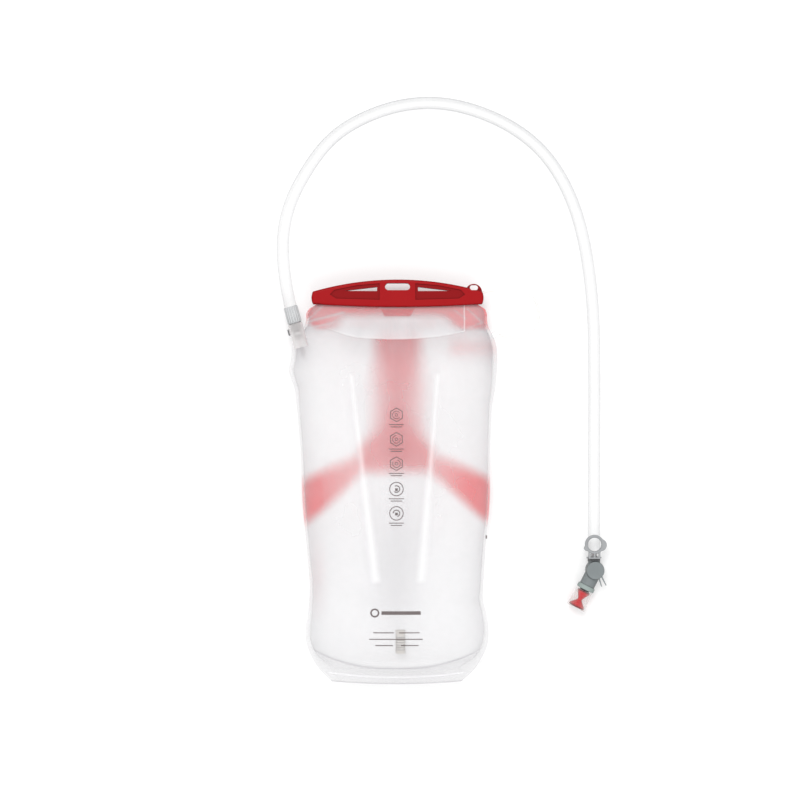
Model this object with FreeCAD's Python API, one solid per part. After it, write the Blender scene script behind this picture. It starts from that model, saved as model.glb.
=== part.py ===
import FreeCAD, Part
import math
import os
from FreeCAD import Vector

# Flexible drinking reservoir lying on its back.  Millimetres, +Z up, +Y from the bottom fin
# towards the slide bar.  The shapes are drawn about the bag's own middle line and moved by
# ORIGIN_SHIFT when they are written, so that the row's origin is under the middle of its box.

ORIGIN_SHIFT = Vector(3.9, 0, 0)

# ---- bag ----
SEAM_Z = 22.0          # height of the perimeter weld above the floor
FILM = 0.6             # thickness of one film
LAMINATE = 0.4         # thickness of a tinted film laminated inside
LAMINATE_GAP = 0.05
# y, left, right, rise of the front film, fall of the back film
BAG_SECTIONS = [
    (169.5, -84.0, 86.0, 1.2, 1.2),
    (158.0, -86.0, 87.0, 8.0, 7.0),
    (146.0, -93.0, 91.0, 17.0, 12.0),
    (132.0, -99.0, 94.5, 24.0, 17.0),
    (108.0, -101.5, 95.0, 32.0, 22.0),
    (76.0, -95.0, 91.0, 36.0, 25.0),
    (20.0, -91.0, 89.0, 38.0, 26.0),
    (-45.0, -87.0, 86.5, 38.0, 26.0),
    (-105.0, -82.5, 81.5, 35.0, 24.0),
    (-140.0, -85.0, 86.5, 27.0, 19.0),
    (-160.0, -82.5, 84.0, 17.0, 13.0),
    (-172.0, -75.0, 76.5, 8.0, 7.0),
    (-180.0, -60.0, 61.0, 1.5, 1.5),
]
LEFT_EDGE = [
    Vector(-88.0, 152.0),
    Vector(-101.5, 143.5),
    Vector(-103.0, 122.0),
    Vector(-105.8, 108.5),
    Vector(-99.0, 88.0),
    Vector(-94.5, 32.0),
    Vector(-91.5, -27.0),
    Vector(-85.5, -105.0),
    Vector(-88.7, -150.0),
    Vector(-82.0, -174.0),
]
RIGHT_EDGE = [
    Vector(83.0, -174.0),
    Vector(90.0, -150.0),
    Vector(84.8, -105.0),
    Vector(90.5, -27.0),
    Vector(91.7, 32.0),
    Vector(96.2, 88.0),
    Vector(98.5, 114.0),
    Vector(97.5, 135.0),
    Vector(88.5, 152.0),
]
NECK_HALF = 87.7
NECK_TOP = 169.5
FIN_BOTTOM = -198.2
FIN_CORNERS = (Vector(-62.0, -195.0), Vector(63.0, -195.0))
FIN_SWINGS = (Vector(-74.5, -187.5), Vector(75.5, -187.5))

# ---- mouth, rails and slide bar ----
MOUTH_HALF = 77.0
RAIL_BOTTOM = 177.2
RAIL_HEIGHT = 6.0
RAIL_THICK = 2.8
RAIL_ROUND = 0.9
BAR_HALF = 82.8
BAR_SHIFT = 1.0
BAR_THICK = 14.0
BAR_LOW_END = 174.2
BAR_LOW_MID = 171.3
BAR_HIGH_END = 186.5
BAR_HIGH_MID = 198.2
BAR_TIP = 1.4          # how far each rounded end stands out
BAR_ROUND = 2.0
CHANNEL_SLOT = 2.6
CHANNEL_DEPTH = 8.6
CHANNEL_LOW = 176.4
CHANNEL_HIGH = 184.0
CHANNEL_END = 78.5
HANG_SLOT_LENGTH = 24.5
HANG_SLOT_HEIGHT = 6.9
HANG_SLOT_Y = 191.2
WEDGE_NEAR = 20.0
WEDGE_FAR = 53.0
WEDGE_LOW = 186.9
WEDGE_RISE = 4.0
# outline of the sunk panel around each wedge slot: distance from the bar's middle, y
RECESS = ((17.5, 178.4), (60.0, 179.6), (66.0, 183.6), (62.0, 188.0), (40.0, 192.4), (17.5, 194.4))
RECESS_DEPTH = 1.3
EYELET_AT = Vector(75.6, 185.9, SEAM_Z)
EYELET_OUTER = 8.2
EYELET_THICK = 3.0
EYELET_HOLE = 2.5
EYELET_HOLE_X = (74.3, 77.3)
EYELET_HOLE_Y = 190.3

# ---- folded lip, its tab and the tether anchor ----
LIP_LEFT = -82.0
LIP_RIGHT = 67.0
LIP_TOP = 169.0
LIP_CORNER = Vector(-77.0, 157.0)
LIP_LOWEST = Vector(-12.0, 140.0)
LIP_END = Vector(LIP_RIGHT, 147.3)
LIP_THICK = 0.6
LIP_LIFT = 0.3
TAB_HALF = 16.0
TAB_TOP = 168.8
TAB_HEIGHT = 6.5
TAB_TAPER = 4.0
TAB_THICK = 0.8
ANCHOR_AT = Vector(95.6, 144.0, SEAM_Z)
ANCHOR_RADIUS = 3.4
ANCHOR_THICK = 4.0
ANCHOR_ROUND = 0.8

# ---- baffle webs: upper and lower ends of each weld line ----
WEB_THICK = 0.6
WEB_LINES = {
    "baffle_web_left": (Vector(-43.6, 102.0), Vector(-20.1, -92.8)),
    "baffle_web_right": (Vector(39.7, 102.0), Vector(24.0, -92.8)),
}
FILM_CLEAR = 1.15

# ---- yoke: half outline right of its middle line, from the top of the stem ----
YOKE_HALF = [
    Vector(28.0, 145.0),
    Vector(17.0, 78.0),
    Vector(35.0, 32.0),
    Vector(92.0, 2.5),
    Vector(92.0, -41.0),
    Vector(35.0, 3.5),
    Vector(0, 5.5),
]
BAND_LOW = 150.5
BAND_HIGH = 165.5

# ---- port: distances run along the port's axis, from inside the bag outwards ----
PORT_AT = Vector(-95.1, 139.5, SEAM_Z)
PORT_LEAN = math.radians(15.3)
PORT_AXIS = Vector(-math.sin(PORT_LEAN), math.cos(PORT_LEAN), 0)
PORT_SIDE = Vector(-math.cos(PORT_LEAN), -math.sin(PORT_LEAN), 0)
BOSS_RADIUS = 7.0
BOSS_INNER = -8.0
BOSS_OUTER = 16.3
SPIGOT_INNER = -16.0
SPIGOT_RADIUS = 2.4
PASSAGE = 1.6
CHAMBER_RADIUS = 4.6
CHAMBER_START = 0.5
CHAMBER_END = 8.0
SEAT_RADIUS = 3.35
SEAT_END = 9.2
SOCKET_RADIUS = 5.5
NOSE_RADIUS = 3.25
NOSE_START = 4.8
LAND_RADIUS = 5.42
LAND_START = 9.5
PLUG_SEAL_AT = 14.1
SHANK_RADIUS = 4.6
SHANK_SHORT = 11.0
PLUG_BARB_TOP = 3.0
PLUG_BARB_STEP = 2.2
GRIP_START = 16.6
GRIP_END = 33.5
GRIP_RADIUS_LOW = 7.0
GRIP_RADIUS_HIGH = 6.5
GRIP_RIBS = 16
GRIP_RIB = 0.75
GRIP_RIB_INSET = 0.8
GRIP_HOSE_DEPTH = 10.8     # how far the hose goes into the grip
GRIP_BORE = 4.65
GROOVE_WIDTH = 1.9
O_RING = 0.66
TOUCH = 0.02           # clearance or bite of two parts that meet without play
BARBS = 3
BARB_RELIEF = 0.25
POPPET_BACK = 3.0
POPPET_FRONT = 4.6
POPPET_RADIUS = 4.2
SPRING_OUTER = 3.4
SPRING_INNER = 2.5
SPRING_RINGS = 3
SPRING_RING = 0.32
SPRING_POST = 0.45
BUTTON_CENTRE = 9.2
BUTTON_LENGTH = 6.0
BUTTON_WIDTH = 6.0
BUTTON_SEAT = 6.1
BUTTON_TRAVEL = 0.8
BUTTON_PROUD = 9.0
PLAY = 0.15
BUTTON_ROUND = 0.6
HOUSING_WALL = 1.2
POPPET_STEM = 1.1
POPPET_STEM_LENGTH = 2.6

# ---- dip tube and strainer ----
DIP_RADIUS = 3.6
DIP_BORE = 2.45
DIP_FIRST_CORNER = -30.0   # along the port's axis
DIP_ROUTE = [
    (-84.0, 98.0),
    (-74.0, 55.0),
    (-68.0, -5.0),
    (-62.0, -62.0),
    (-46.0, -104.0),
    (-11.0, -120.0),
    (3.9, -138.0),
    (3.9, -149.0),
]
STRAINER_RADIUS = 4.8
STRAINER_WALL = 1.4
STRAINER_LOW = -168.0
STRAINER_SOCKET = 4.0
STRAINER_SLOTS = 6
STRAINER_SLOT = 1.2
STRAINER_PITCH = 2.4
STRAINER_FIRST = 3.0

# ---- hose ----
HOSE_RADIUS = 6.0
HOSE_BORE = 3.25
HOSE_IN_GRIP = 10.5        # along the port's axis
HOSE_FIRST_CORNER = 63.0
HOSE_ROUTE = [
    (-111.7, 264.0, 10.5),
    (-80.6, 321.6, 6.2),
    (-49.5, 351.6, 6.2),
    (2.5, 372.6, 6.2),
    (54.5, 373.8, 6.2),
    (110.0, 354.0, 6.2),
    (151.5, 320.5, 6.2),
    (180.5, 263.9, 6.2),
    (194.2, 181.6, 6.2),
    (195.2, 96.0, 6.2),
    (194.4, 12.0, 9.75),
    (194.4, -74.0, 9.75),
]

# ---- tether ----
TETHER_RADIUS = 1.1
TETHER_ROUTE = [
    (84.5, 186.0, 22.0),
    (106.0, 190.5, 18.0),
    (136.5, 183.5, 10.0),
    (142.0, 160.5, 6.5),
    (129.5, 142.0, 10.0),
    (113.0, 141.0, 18.0),
    (99.8, 144.0, 24.4),
]

# ---- mouthpiece, laid on the floor at the end of the hose ----
VALVE_X = 194.4
VALVE_Z = 9.75
HOSE_END_Y = -74.0
BARB_TOP_Y = -68.6
BARB_STEP = 1.8
SPIGOT_END_Y = -81.2
SPIGOT_BORE = 2.0
VALVE_SPIGOT = 3.4
COLLAR_RADIUS = 6.2
COLLAR_END_Y = -77.95
SPIGOT_BARB = 0.35         # how much thinner than the hose's bore the spigot's shank is
SWIVEL_SEAL_AT = 1.2
SWIVEL_SEAL_HALF = 0.7
SWIVEL_O_RING = 0.39
SWIVEL_GROOVE = 0.8
RING_Y = -61.4
RING_OUTER = 9.4
RING_INNER = 6.6
RING_LOW = 16.2
RING_THICK = 3.6
RING_ROUND = 0.9
RING_BUMPS = ((6.0, -0.6, 6.0), (-7.4, -3.6, 2.9))
POSTS = ((-4.9, 0.8), (0, 0.75), (4.9, 0.8))
SADDLE_RADIUS = 7.3
SADDLE_END_Y = -75.4
STEP_HALF = 5.7
STEP_UP = 4.0
ARM_START_Y = -78.15
ARM_RADIUS = 5.9
JOINT_X = 195.2
JOINT_Y = -87.0
JOINT_RADIUS = 8.9
JOINT_LOW = 1.25
JOINT_HIGH = 18.25
WATERWAY = 2.6
ROTOR_RADIUS = 5.4
ROTOR_LOW = 3.0
ROTOR_CLEAR = 0.06
ROTOR_SEAL_DOWN = 2.0
ROTOR_SEAL_HALF = 0.7
ROTOR_O_RING = 0.45
ROTOR_GROOVE = 0.9
KNOB_LOW = 18.4
KNOB_THICK = 2.2
KNOB_RADIUS = 8.7
KNOB_ROUND = 0.8
PRONG_WIDTH = 1.5
PRONG_THICK = 1.5
PRONG_TAPER = 0.55
PRONGS = (((3.4, -7.2), (6.0, -15.6)), ((5.9, -5.6), (10.4, -14.6)))
BITE_LEAN = math.radians(27.0)
BITE_AXIS = Vector(-math.sin(BITE_LEAN), -math.cos(BITE_LEAN), 0)
OUTLET_RADIUS = 7.6
OUTLET_END = 17.0
NIPPLE_RADIUS = 5.0
NIPPLE_END = 22.8
BAND_RADIUS = 8.9
BAND_END = 21.4
SLEEVE = 1.3               # wall of the sheath's root, under the band
TIP_END = 41.8
TIP_RADIUS = 9.7
TIP_ROOT_RADIUS = 8.2
TIP_WALL = 1.5
CORE_BIG = 8.1
CORE_TOP = 6.4
CORE_WAIST = 2.3
CORE_WAIST_AT = 32.2

UP = Vector(0, 0, 1)


def write(name, shape):
    moved = shape.translated(ORIGIN_SHIFT)
    moved.exportStep("parts/" + name + ".step")
    box = moved.BoundBox
    print(
        name, len(moved.Solids), moved.isValid(), round(moved.Volume, 1),
        [round(v, 2) for v in (box.XMin, box.XMax, box.YMin, box.YMax, box.ZMin, box.ZMax)],
    )


def rod(radius, start, end):
    return Part.makeCylinder(radius, (end - start).Length, start, end - start)


def tube(outer, inner, start, end):
    return rod(outer, start, end).cut(rod(inner, start, end))


def cone(radius_start, radius_end, start, end):
    return Part.makeCone(radius_start, radius_end, (end - start).Length, start, end - start)


def ring(radius, wire, centre, axis):
    return Part.makeTorus(radius, wire, centre, axis)


def block(x, y, z):
    """A box from three (low, high) pairs."""
    return Part.makeBox(x[1] - x[0], y[1] - y[0], z[1] - z[0], Vector(x[0], y[0], z[0]))


def rounded_disc(radius, centre, thick, fillet):
    """A flat disc from centre upwards, with its upper rim rounded."""
    disc = rod(radius, centre, centre + UP * thick)
    rim = [e for e in disc.Edges if e.CenterOfMass.z > centre.z + thick - 0.01]
    return disc.makeFillet(fillet, rim)


def outline(points):
    """A closed wire of straight sides through flat points."""
    return Part.makePolygon(points + [points[0]])


def prism(wire, low, high):
    face = Part.Face(wire)
    face.translate(Vector(0, 0, low))
    return face.extrude(Vector(0, 0, high - low))


def union(shapes):
    joined = shapes[0].multiFuse(shapes[1:])
    return joined.removeSplitter()


def route_path(points):
    """Straight runs joined by tangent arcs, each as large as its two runs allow."""
    edges = []
    radii = []
    here = points[0]
    for before, corner, after in zip(points, points[1:], points[2:]):
        into = corner - before
        out = after - corner
        half = into.getAngle(out) / 2
        reach = 0.45 * min(into.Length, out.Length)
        radii.append(reach / math.tan(half))
        into.normalize()
        out.normalize()
        start = corner - into * reach
        end = corner + out * reach
        bisector = (out - into).normalize()
        middle = corner + bisector * (radii[-1] / math.cos(half) - radii[-1])
        edges.append(Part.LineSegment(here, start).toShape())
        edges.append(Part.Arc(start, middle, end).toShape())
        here = end
    edges.append(Part.LineSegment(here, points[-1]).toShape())
    return Part.Wire(edges), radii


def cord(points, radius, bore=0):
    path, radii = route_path(points)
    along = points[1] - points[0]

    def sweep(size):
        circle = Part.makeCircle(size, points[0], along)
        return path.makePipe(Part.Face(Part.Wire(circle)))

    solid = sweep(radius)
    if bore:
        solid = solid.cut(sweep(bore))
    section = math.pi * (radius ** 2 - bore ** 2)
    print(
        "cord length", round(path.Length, 1), "least radius", round(min(radii), 1),
        "volume ratio", round(solid.Volume / (section * path.Length), 4),
    )
    return solid


# ---------------------------------------------------------------- bag


def bag_half(side, inset):
    """One filled half of the bag: side +1 is the front, -1 the back; inset is inward."""
    wires = []
    for y, left, right, rise, fall in BAG_SECTIONS:
        height = (rise if side > 0 else fall) - inset
        centre = Vector((left + right) / 2, y, SEAM_Z)
        across = Vector((right - left) / 2 - inset, 0, 0)
        crown = Vector(0, 0, side * height)
        curve = Part.Ellipse(centre + across, centre + crown, centre)
        arc = Part.ArcOfEllipse(curve, 0, math.pi).toShape()
        chord = Part.LineSegment(centre - across, centre + across).toShape()
        wires.append(Part.Wire([arc, chord]))
    solid = Part.makeLoft(wires, True, False)
    reach = 300
    low = max(0, inset)
    return solid.common(block((-reach, reach), (-reach, reach), (low, reach)))


def weld_outline():
    """The outer edge of the two films, with the wide fin at the bottom."""
    left = Part.BSplineCurve()
    left.interpolate([Vector(-NECK_HALF, NECK_TOP, 0)] + LEFT_EDGE)
    right = Part.BSplineCurve()
    right.interpolate(RIGHT_EDGE + [Vector(NECK_HALF, NECK_TOP, 0)])
    edges = [
        left.toShape(),
        Part.Arc(LEFT_EDGE[-1], FIN_SWINGS[0], FIN_CORNERS[0]).toShape(),
        Part.Arc(FIN_CORNERS[0], Vector(0, FIN_BOTTOM, 0), FIN_CORNERS[1]).toShape(),
        Part.Arc(FIN_CORNERS[1], FIN_SWINGS[1], RIGHT_EDGE[0]).toShape(),
        right.toShape(),
        Part.LineSegment(Vector(NECK_HALF, NECK_TOP, 0), Vector(-NECK_HALF, NECK_TOP, 0)).toShape(),
    ]
    return Part.Wire(edges)


def port_point(along):
    return PORT_AT + PORT_AXIS * along


def film_panel(side):
    """A film with its bulge, its weld margin and the tongue that the rails clamp."""
    low, high = sorted((SEAM_Z, SEAM_Z + side * FILM))
    margin = prism(weld_outline(), low, high)
    tongue = block((-MOUTH_HALF, MOUTH_HALF), (NECK_TOP - 1, RAIL_BOTTOM + RAIL_HEIGHT), (low, high))
    panel = union([bag_half(side, 0), margin, tongue]).cut(bag_half(side, FILM))
    boss = rod(BOSS_RADIUS, port_point(BOSS_INNER), port_point(BOSS_OUTER))
    return panel.cut(boss)


def inner_layer(side):
    """The space of a tinted film laminated to the inside of a panel."""
    start = FILM + LAMINATE_GAP
    return bag_half(side, start).cut(bag_half(side, start + LAMINATE))


def yoke_outline():
    """An upside-down Y: a stem from the neck and two arms out to the sides."""
    left = [Vector(-p.x, p.y) for p in reversed(YOKE_HALF[:-1])]
    return outline(YOKE_HALF + left)


def make_bag():
    front = film_panel(1)
    back = film_panel(-1)
    write("front_panel", front)
    write("back_panel", back)

    back_layer = inner_layer(-1)
    write("back_yoke", back_layer.common(prism(yoke_outline(), 0, SEAM_Z - 0.2)))
    neck_zone = block((-NECK_HALF, NECK_HALF), (BAND_LOW, BAND_HIGH), (0, 2 * SEAM_Z))
    write("neck_band_back", back_layer.common(neck_zone))
    write("neck_band_front", inner_layer(1).common(neck_zone))

    hollow = union([bag_half(1, FILM_CLEAR), bag_half(-1, FILM_CLEAR)])
    for name, (top, bottom) in WEB_LINES.items():
        along = (bottom - top).normalize()
        across = Vector(-along.y, along.x, 0) * (WEB_THICK / 2)
        wall = prism(outline([top + across, bottom + across, bottom - across, top - across]), 0, 70)
        write(name, hollow.common(wall))


def make_mouth():
    for name, side in (("mouth_rail_front", 1), ("mouth_rail_back", -1)):
        near = SEAM_Z + side * FILM
        low, high = sorted((near, near + side * RAIL_THICK))
        rail = block((-MOUTH_HALF, MOUTH_HALF), (RAIL_BOTTOM, RAIL_BOTTOM + RAIL_HEIGHT), (low, high))
        outer = [e for e in rail.Edges if abs(e.CenterOfMass.z - near) > RAIL_THICK - 0.01]
        along = [e for e in outer if e.Length > RAIL_HEIGHT + 1]
        write(name, rail.makeFillet(RAIL_ROUND, along))

    edges = [
        Part.LineSegment(Vector(LIP_LEFT, LIP_TOP, 0), LIP_CORNER).toShape(),
        Part.Arc(LIP_CORNER, LIP_LOWEST, LIP_END).toShape(),
        Part.LineSegment(LIP_END, Vector(LIP_RIGHT, LIP_TOP, 0)).toShape(),
        Part.LineSegment(Vector(LIP_RIGHT, LIP_TOP, 0), Vector(LIP_LEFT, LIP_TOP, 0)).toShape(),
    ]
    lip_zone = prism(Part.Wire(edges), SEAM_Z, 3 * SEAM_Z)
    lip_layer = bag_half(1, -LIP_LIFT - LIP_THICK).cut(bag_half(1, -LIP_LIFT))
    write("front_lip", lip_layer.common(lip_zone))

    low = TAB_TOP - TAB_HEIGHT
    tab_wire = outline([
        Vector(-TAB_HALF, TAB_TOP, 0),
        Vector(TAB_HALF, TAB_TOP, 0),
        Vector(TAB_HALF - TAB_TAPER, low, 0),
        Vector(TAB_TAPER - TAB_HALF, low, 0),
    ])
    lift = LIP_LIFT + LIP_THICK + LAMINATE_GAP
    tab_layer = bag_half(1, -lift - TAB_THICK).cut(bag_half(1, -lift))
    write("lip_tab", tab_layer.common(prism(tab_wire, SEAM_Z, 3 * SEAM_Z)))

    foot = ANCHOR_AT + UP * FILM
    write("tether_anchor", rounded_disc(ANCHOR_RADIUS, foot, ANCHOR_THICK, ANCHOR_ROUND))


# ---------------------------------------------------------------- slide bar


def bar_blank():
    left = BAR_SHIFT - BAR_HALF
    right = BAR_SHIFT + BAR_HALF
    tip = (BAR_LOW_END + BAR_HIGH_END) / 2
    edges = [
        Part.Arc(
            Vector(left, BAR_LOW_END, 0), Vector(BAR_SHIFT, BAR_LOW_MID, 0),
            Vector(right, BAR_LOW_END, 0),
        ).toShape(),
        Part.Arc(
            Vector(right, BAR_LOW_END, 0), Vector(right + BAR_TIP, tip, 0),
            Vector(right, BAR_HIGH_END, 0),
        ).toShape(),
        Part.Arc(
            Vector(right, BAR_HIGH_END, 0), Vector(BAR_SHIFT, BAR_HIGH_MID, 0),
            Vector(left, BAR_HIGH_END, 0),
        ).toShape(),
        Part.Arc(
            Vector(left, BAR_HIGH_END, 0), Vector(left - BAR_TIP, tip, 0),
            Vector(left, BAR_LOW_END, 0),
        ).toShape(),
    ]
    half = BAR_THICK / 2
    blank = prism(Part.Wire(edges), SEAM_Z - half, SEAM_Z + half)
    rims = [e for e in blank.Edges if abs(abs(e.CenterOfMass.z - SEAM_Z) - half) < 0.01]
    return blank.makeFillet(BAR_ROUND, rims)


def rounded_slot(radius, x_ends, y):
    """The space of a slot through the bar, with its two round ends centred on x_ends."""
    low = SEAM_Z - BAR_THICK
    high = SEAM_Z + BAR_THICK
    ends = [rod(radius, Vector(x, y, low), Vector(x, y, high)) for x in x_ends]
    return ends + [block(x_ends, (y - radius, y + radius), (low, high))]


def hang_slot():
    radius = HANG_SLOT_HEIGHT / 2
    reach = HANG_SLOT_LENGTH / 2 - radius
    return rounded_slot(radius, (BAR_SHIFT - reach, BAR_SHIFT + reach), HANG_SLOT_Y)


def wedge_slot(side):
    """A slot that narrows to a point away from the middle."""
    near = BAR_SHIFT + side * WEDGE_NEAR
    far = BAR_SHIFT + side * WEDGE_FAR
    wire = outline([
        Vector(near, WEDGE_LOW, 0),
        Vector(far, WEDGE_LOW + 0.2, 0),
        Vector(near, WEDGE_LOW + WEDGE_RISE, 0),
    ])
    return prism(wire, SEAM_Z - BAR_THICK, SEAM_Z + BAR_THICK)


def recess(side, face):
    """A shallow panel sunk into the front (face +1) or the back (face -1) of the bar."""
    wire = outline([Vector(BAR_SHIFT + side * x, y, 0) for x, y in RECESS])
    surface = SEAM_Z + face * BAR_THICK / 2
    low, high = sorted((surface - face * RECESS_DEPTH, surface + face))
    return prism(wire, low, high)


def make_slide_bar():
    bar = bar_blank()
    far = -BAR_HALF * 2
    cavity = block(
        (far, CHANNEL_END), (CHANNEL_LOW, CHANNEL_HIGH),
        (SEAM_Z - CHANNEL_DEPTH / 2, SEAM_Z + CHANNEL_DEPTH / 2),
    )
    mouth = block(
        (far, CHANNEL_END), (BAR_LOW_MID - 1, CHANNEL_LOW + 1),
        (SEAM_Z - CHANNEL_SLOT / 2, SEAM_Z + CHANNEL_SLOT / 2),
    )
    cuts = [cavity, mouth] + hang_slot()
    for side in (-1, 1):
        cuts.append(wedge_slot(side))
        cuts.extend(recess(side, face) for face in (-1, 1))
    half = UP * (EYELET_THICK / 2)
    loop = rod(EYELET_OUTER, EYELET_AT - half, EYELET_AT + half)
    loop = loop.common(block((0, 2 * BAR_HALF), (CHANNEL_HIGH, BAR_HIGH_MID), (0, 2 * SEAM_Z)))
    cuts += rounded_slot(EYELET_HOLE, EYELET_HOLE_X, EYELET_HOLE_Y)
    bar = bar.multiFuse([loop]).cut(cuts[0]).cut(cuts[1:])
    write("slide_bar", bar)


# ---------------------------------------------------------------- port


def groove(radius, centre, axis, width=GROOVE_WIDTH):
    """The ring of space that an O-ring sits in, cut from a shaft of the given radius."""
    start = centre - axis * (width / 2)
    end = centre + axis * (width / 2)
    return tube(radius + 1, radius - 1.3, start, end)


def o_ring(outer, centre, axis):
    """A ring whose outside just reaches the wall that it seals against."""
    return ring(outer - O_RING, O_RING, centre, axis)


def button_zone(inner, outer, play):
    """The block of space that a button takes, from inner to outer off the port's axis."""
    long = BUTTON_LENGTH / 2 + play
    wide = BUTTON_WIDTH / 2 + play
    shape = block((-long, long), (inner, outer), (-wide, wide))
    turn = FreeCAD.Rotation(PORT_AXIS, PORT_SIDE, UP, "XYZ")
    shape.Placement = FreeCAD.Placement(port_point(BUTTON_CENTRE), turn)
    return shape


def make_port():
    boss = rod(BOSS_RADIUS, port_point(BOSS_INNER), port_point(BOSS_OUTER))
    spigot = rod(SPIGOT_RADIUS, port_point(SPIGOT_INNER), port_point(BOSS_INNER + 1))
    housing = button_zone(0, BUTTON_PROUD - HOUSING_WALL, HOUSING_WALL)
    body = union([boss, spigot, housing])
    body = body.cut([
        rod(PASSAGE, port_point(SPIGOT_INNER - 1), port_point(CHAMBER_START + 1)),
        rod(CHAMBER_RADIUS, port_point(CHAMBER_START), port_point(CHAMBER_END)),
        rod(SEAT_RADIUS, port_point(CHAMBER_END - 1), port_point(SEAT_END + 1)),
        rod(SOCKET_RADIUS, port_point(SEAT_END), port_point(BOSS_OUTER + 1)),
        button_zone(BUTTON_SEAT, BUTTON_PROUD + 1, PLAY),
    ])
    write("port_socket", body)
    button = button_zone(BUTTON_SEAT + BUTTON_TRAVEL + 0.2, BUTTON_PROUD, 0)
    crown = list(button.Faces[3].Edges)
    write("release_button", button.makeFillet(BUTTON_ROUND, crown))

    poppet = union([
        rod(POPPET_RADIUS, port_point(POPPET_BACK), port_point(POPPET_FRONT)),
        rod(POPPET_STEM, port_point(POPPET_BACK - POPPET_STEM_LENGTH), port_point(POPPET_BACK + 1)),
    ])
    write("check_poppet", poppet)
    make_poppet_spring()

    land = [
        rod(NOSE_RADIUS, port_point(NOSE_START), port_point(LAND_START + 1)),
        rod(LAND_RADIUS, port_point(LAND_START), port_point(GRIP_START)),
        rod(SHANK_RADIUS, port_point(GRIP_START - 1), port_point(GRIP_END - SHANK_SHORT)),
        rod(HOSE_BORE - BARB_RELIEF, port_point(GRIP_START), port_point(GRIP_END - 1)),
    ]
    for step in range(BARBS):
        top = GRIP_END - PLUG_BARB_TOP - PLUG_BARB_STEP * step
        barb = (port_point(top - PLUG_BARB_STEP + 0.2), port_point(top))
        land.append(cone(HOSE_BORE - TOUCH, HOSE_BORE - BARB_RELIEF, *barb))
    seal_at = port_point(PLUG_SEAL_AT)
    plug = union(land)
    plug = plug.cut(rod(PASSAGE, port_point(NOSE_START - 1), port_point(GRIP_END)))
    plug = plug.cut(groove(LAND_RADIUS, seal_at, PORT_AXIS))
    write("hose_plug", plug)
    write("plug_seal", o_ring(SOCKET_RADIUS - TOUCH, seal_at, PORT_AXIS))
    make_grip()
    return port_point(GRIP_END - HOSE_IN_GRIP)


def make_poppet_spring():
    """A stack of thin rings; two posts between each pair stand a quarter turn from the last two."""
    low = CHAMBER_START + 0.1
    pitch = (POPPET_BACK - 0.1 - SPRING_RING - low) / (SPRING_RINGS - 1)
    pieces = []
    for index in range(SPRING_RINGS):
        start = low + pitch * index
        pieces.append(tube(SPRING_OUTER, SPRING_INNER, port_point(start), port_point(start + SPRING_RING)))
        if index == SPRING_RINGS - 1:
            break
        out = UP if index % 2 else PORT_SIDE
        for side in (-1, 1):
            foot = out * (side * (SPRING_OUTER + SPRING_INNER) / 2)
            pieces.append(rod(
                SPRING_POST, port_point(start + SPRING_RING / 2) + foot,
                port_point(start + pitch + SPRING_RING / 2) + foot,
            ))
    write("poppet_spring", union(pieces))


def make_grip():
    """The grey sleeve over the plug and the hose's end, tapered and ribbed lengthwise."""
    start = port_point(GRIP_START + 0.05)
    end = port_point(GRIP_END)
    sleeve = cone(GRIP_RADIUS_LOW - GRIP_RIB, GRIP_RADIUS_HIGH - 0.15, start, end)
    ribs = []
    for index in range(GRIP_RIBS):
        turn = FreeCAD.Rotation(PORT_AXIS, 360 * index / GRIP_RIBS)
        out = turn.multVec(PORT_SIDE)
        low = start + PORT_AXIS * GRIP_RIB_INSET + out * (GRIP_RADIUS_LOW - GRIP_RIB)
        high = end - PORT_AXIS * GRIP_RIB_INSET + out * (GRIP_RADIUS_HIGH - GRIP_RIB / 2)
        ribs.append(rod(GRIP_RIB, low, high))
    grip = sleeve.multiFuse(ribs)
    grip = grip.cut([
        rod(GRIP_BORE, port_point(GRIP_START - 1), port_point(GRIP_END - GRIP_HOSE_DEPTH)),
        rod(HOSE_RADIUS + TOUCH, port_point(GRIP_END - GRIP_HOSE_DEPTH), port_point(GRIP_END + 1)),
    ])
    write("plug_grip", grip)


def make_dip_tube():
    end = port_point(BOSS_INNER - PLAY)
    points = [end, port_point(DIP_FIRST_CORNER)]
    points += [Vector(x, y, SEAM_Z) for x, y in DIP_ROUTE]
    write("dip_tube", cord(points, DIP_RADIUS, DIP_BORE))
    foot = points[-1]
    down = Vector(0, -1, 0)
    low = Vector(foot.x, STRAINER_LOW, SEAM_Z)
    strainer = rod(STRAINER_RADIUS, foot - down * STRAINER_SOCKET, low)
    cuts = [
        rod(DIP_RADIUS + TOUCH, foot - down * (STRAINER_SOCKET + 1), foot + down * LAMINATE_GAP),
        rod(STRAINER_RADIUS - STRAINER_WALL, foot, low - down * STRAINER_WALL),
    ]
    half = STRAINER_SLOT / 2
    wide = STRAINER_RADIUS * 2
    for index in range(STRAINER_SLOTS):
        y = foot.y - STRAINER_FIRST - STRAINER_PITCH * index
        for side in (-1, 1):
            z = sorted((SEAM_Z + side * STRAINER_WALL, SEAM_Z + side * wide))
            cuts.append(block((foot.x - wide, foot.x + wide), (y - half, y + half), z))
    write("pickup_strainer", strainer.cut(cuts))


# ---------------------------------------------------------------- hose and tether


def make_cords(hose_start):
    points = [hose_start, port_point(HOSE_FIRST_CORNER)] + [Vector(*p) for p in HOSE_ROUTE]
    write("hose", cord(points, HOSE_RADIUS, HOSE_BORE))
    write("tether", cord([Vector(*p) for p in TETHER_ROUTE], TETHER_RADIUS))


# ---------------------------------------------------------------- mouthpiece


def valve_point(y):
    return Vector(VALVE_X, y, VALVE_Z)


def bite_point(along):
    return Vector(JOINT_X, JOINT_Y, VALVE_Z) + BITE_AXIS * along


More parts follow.
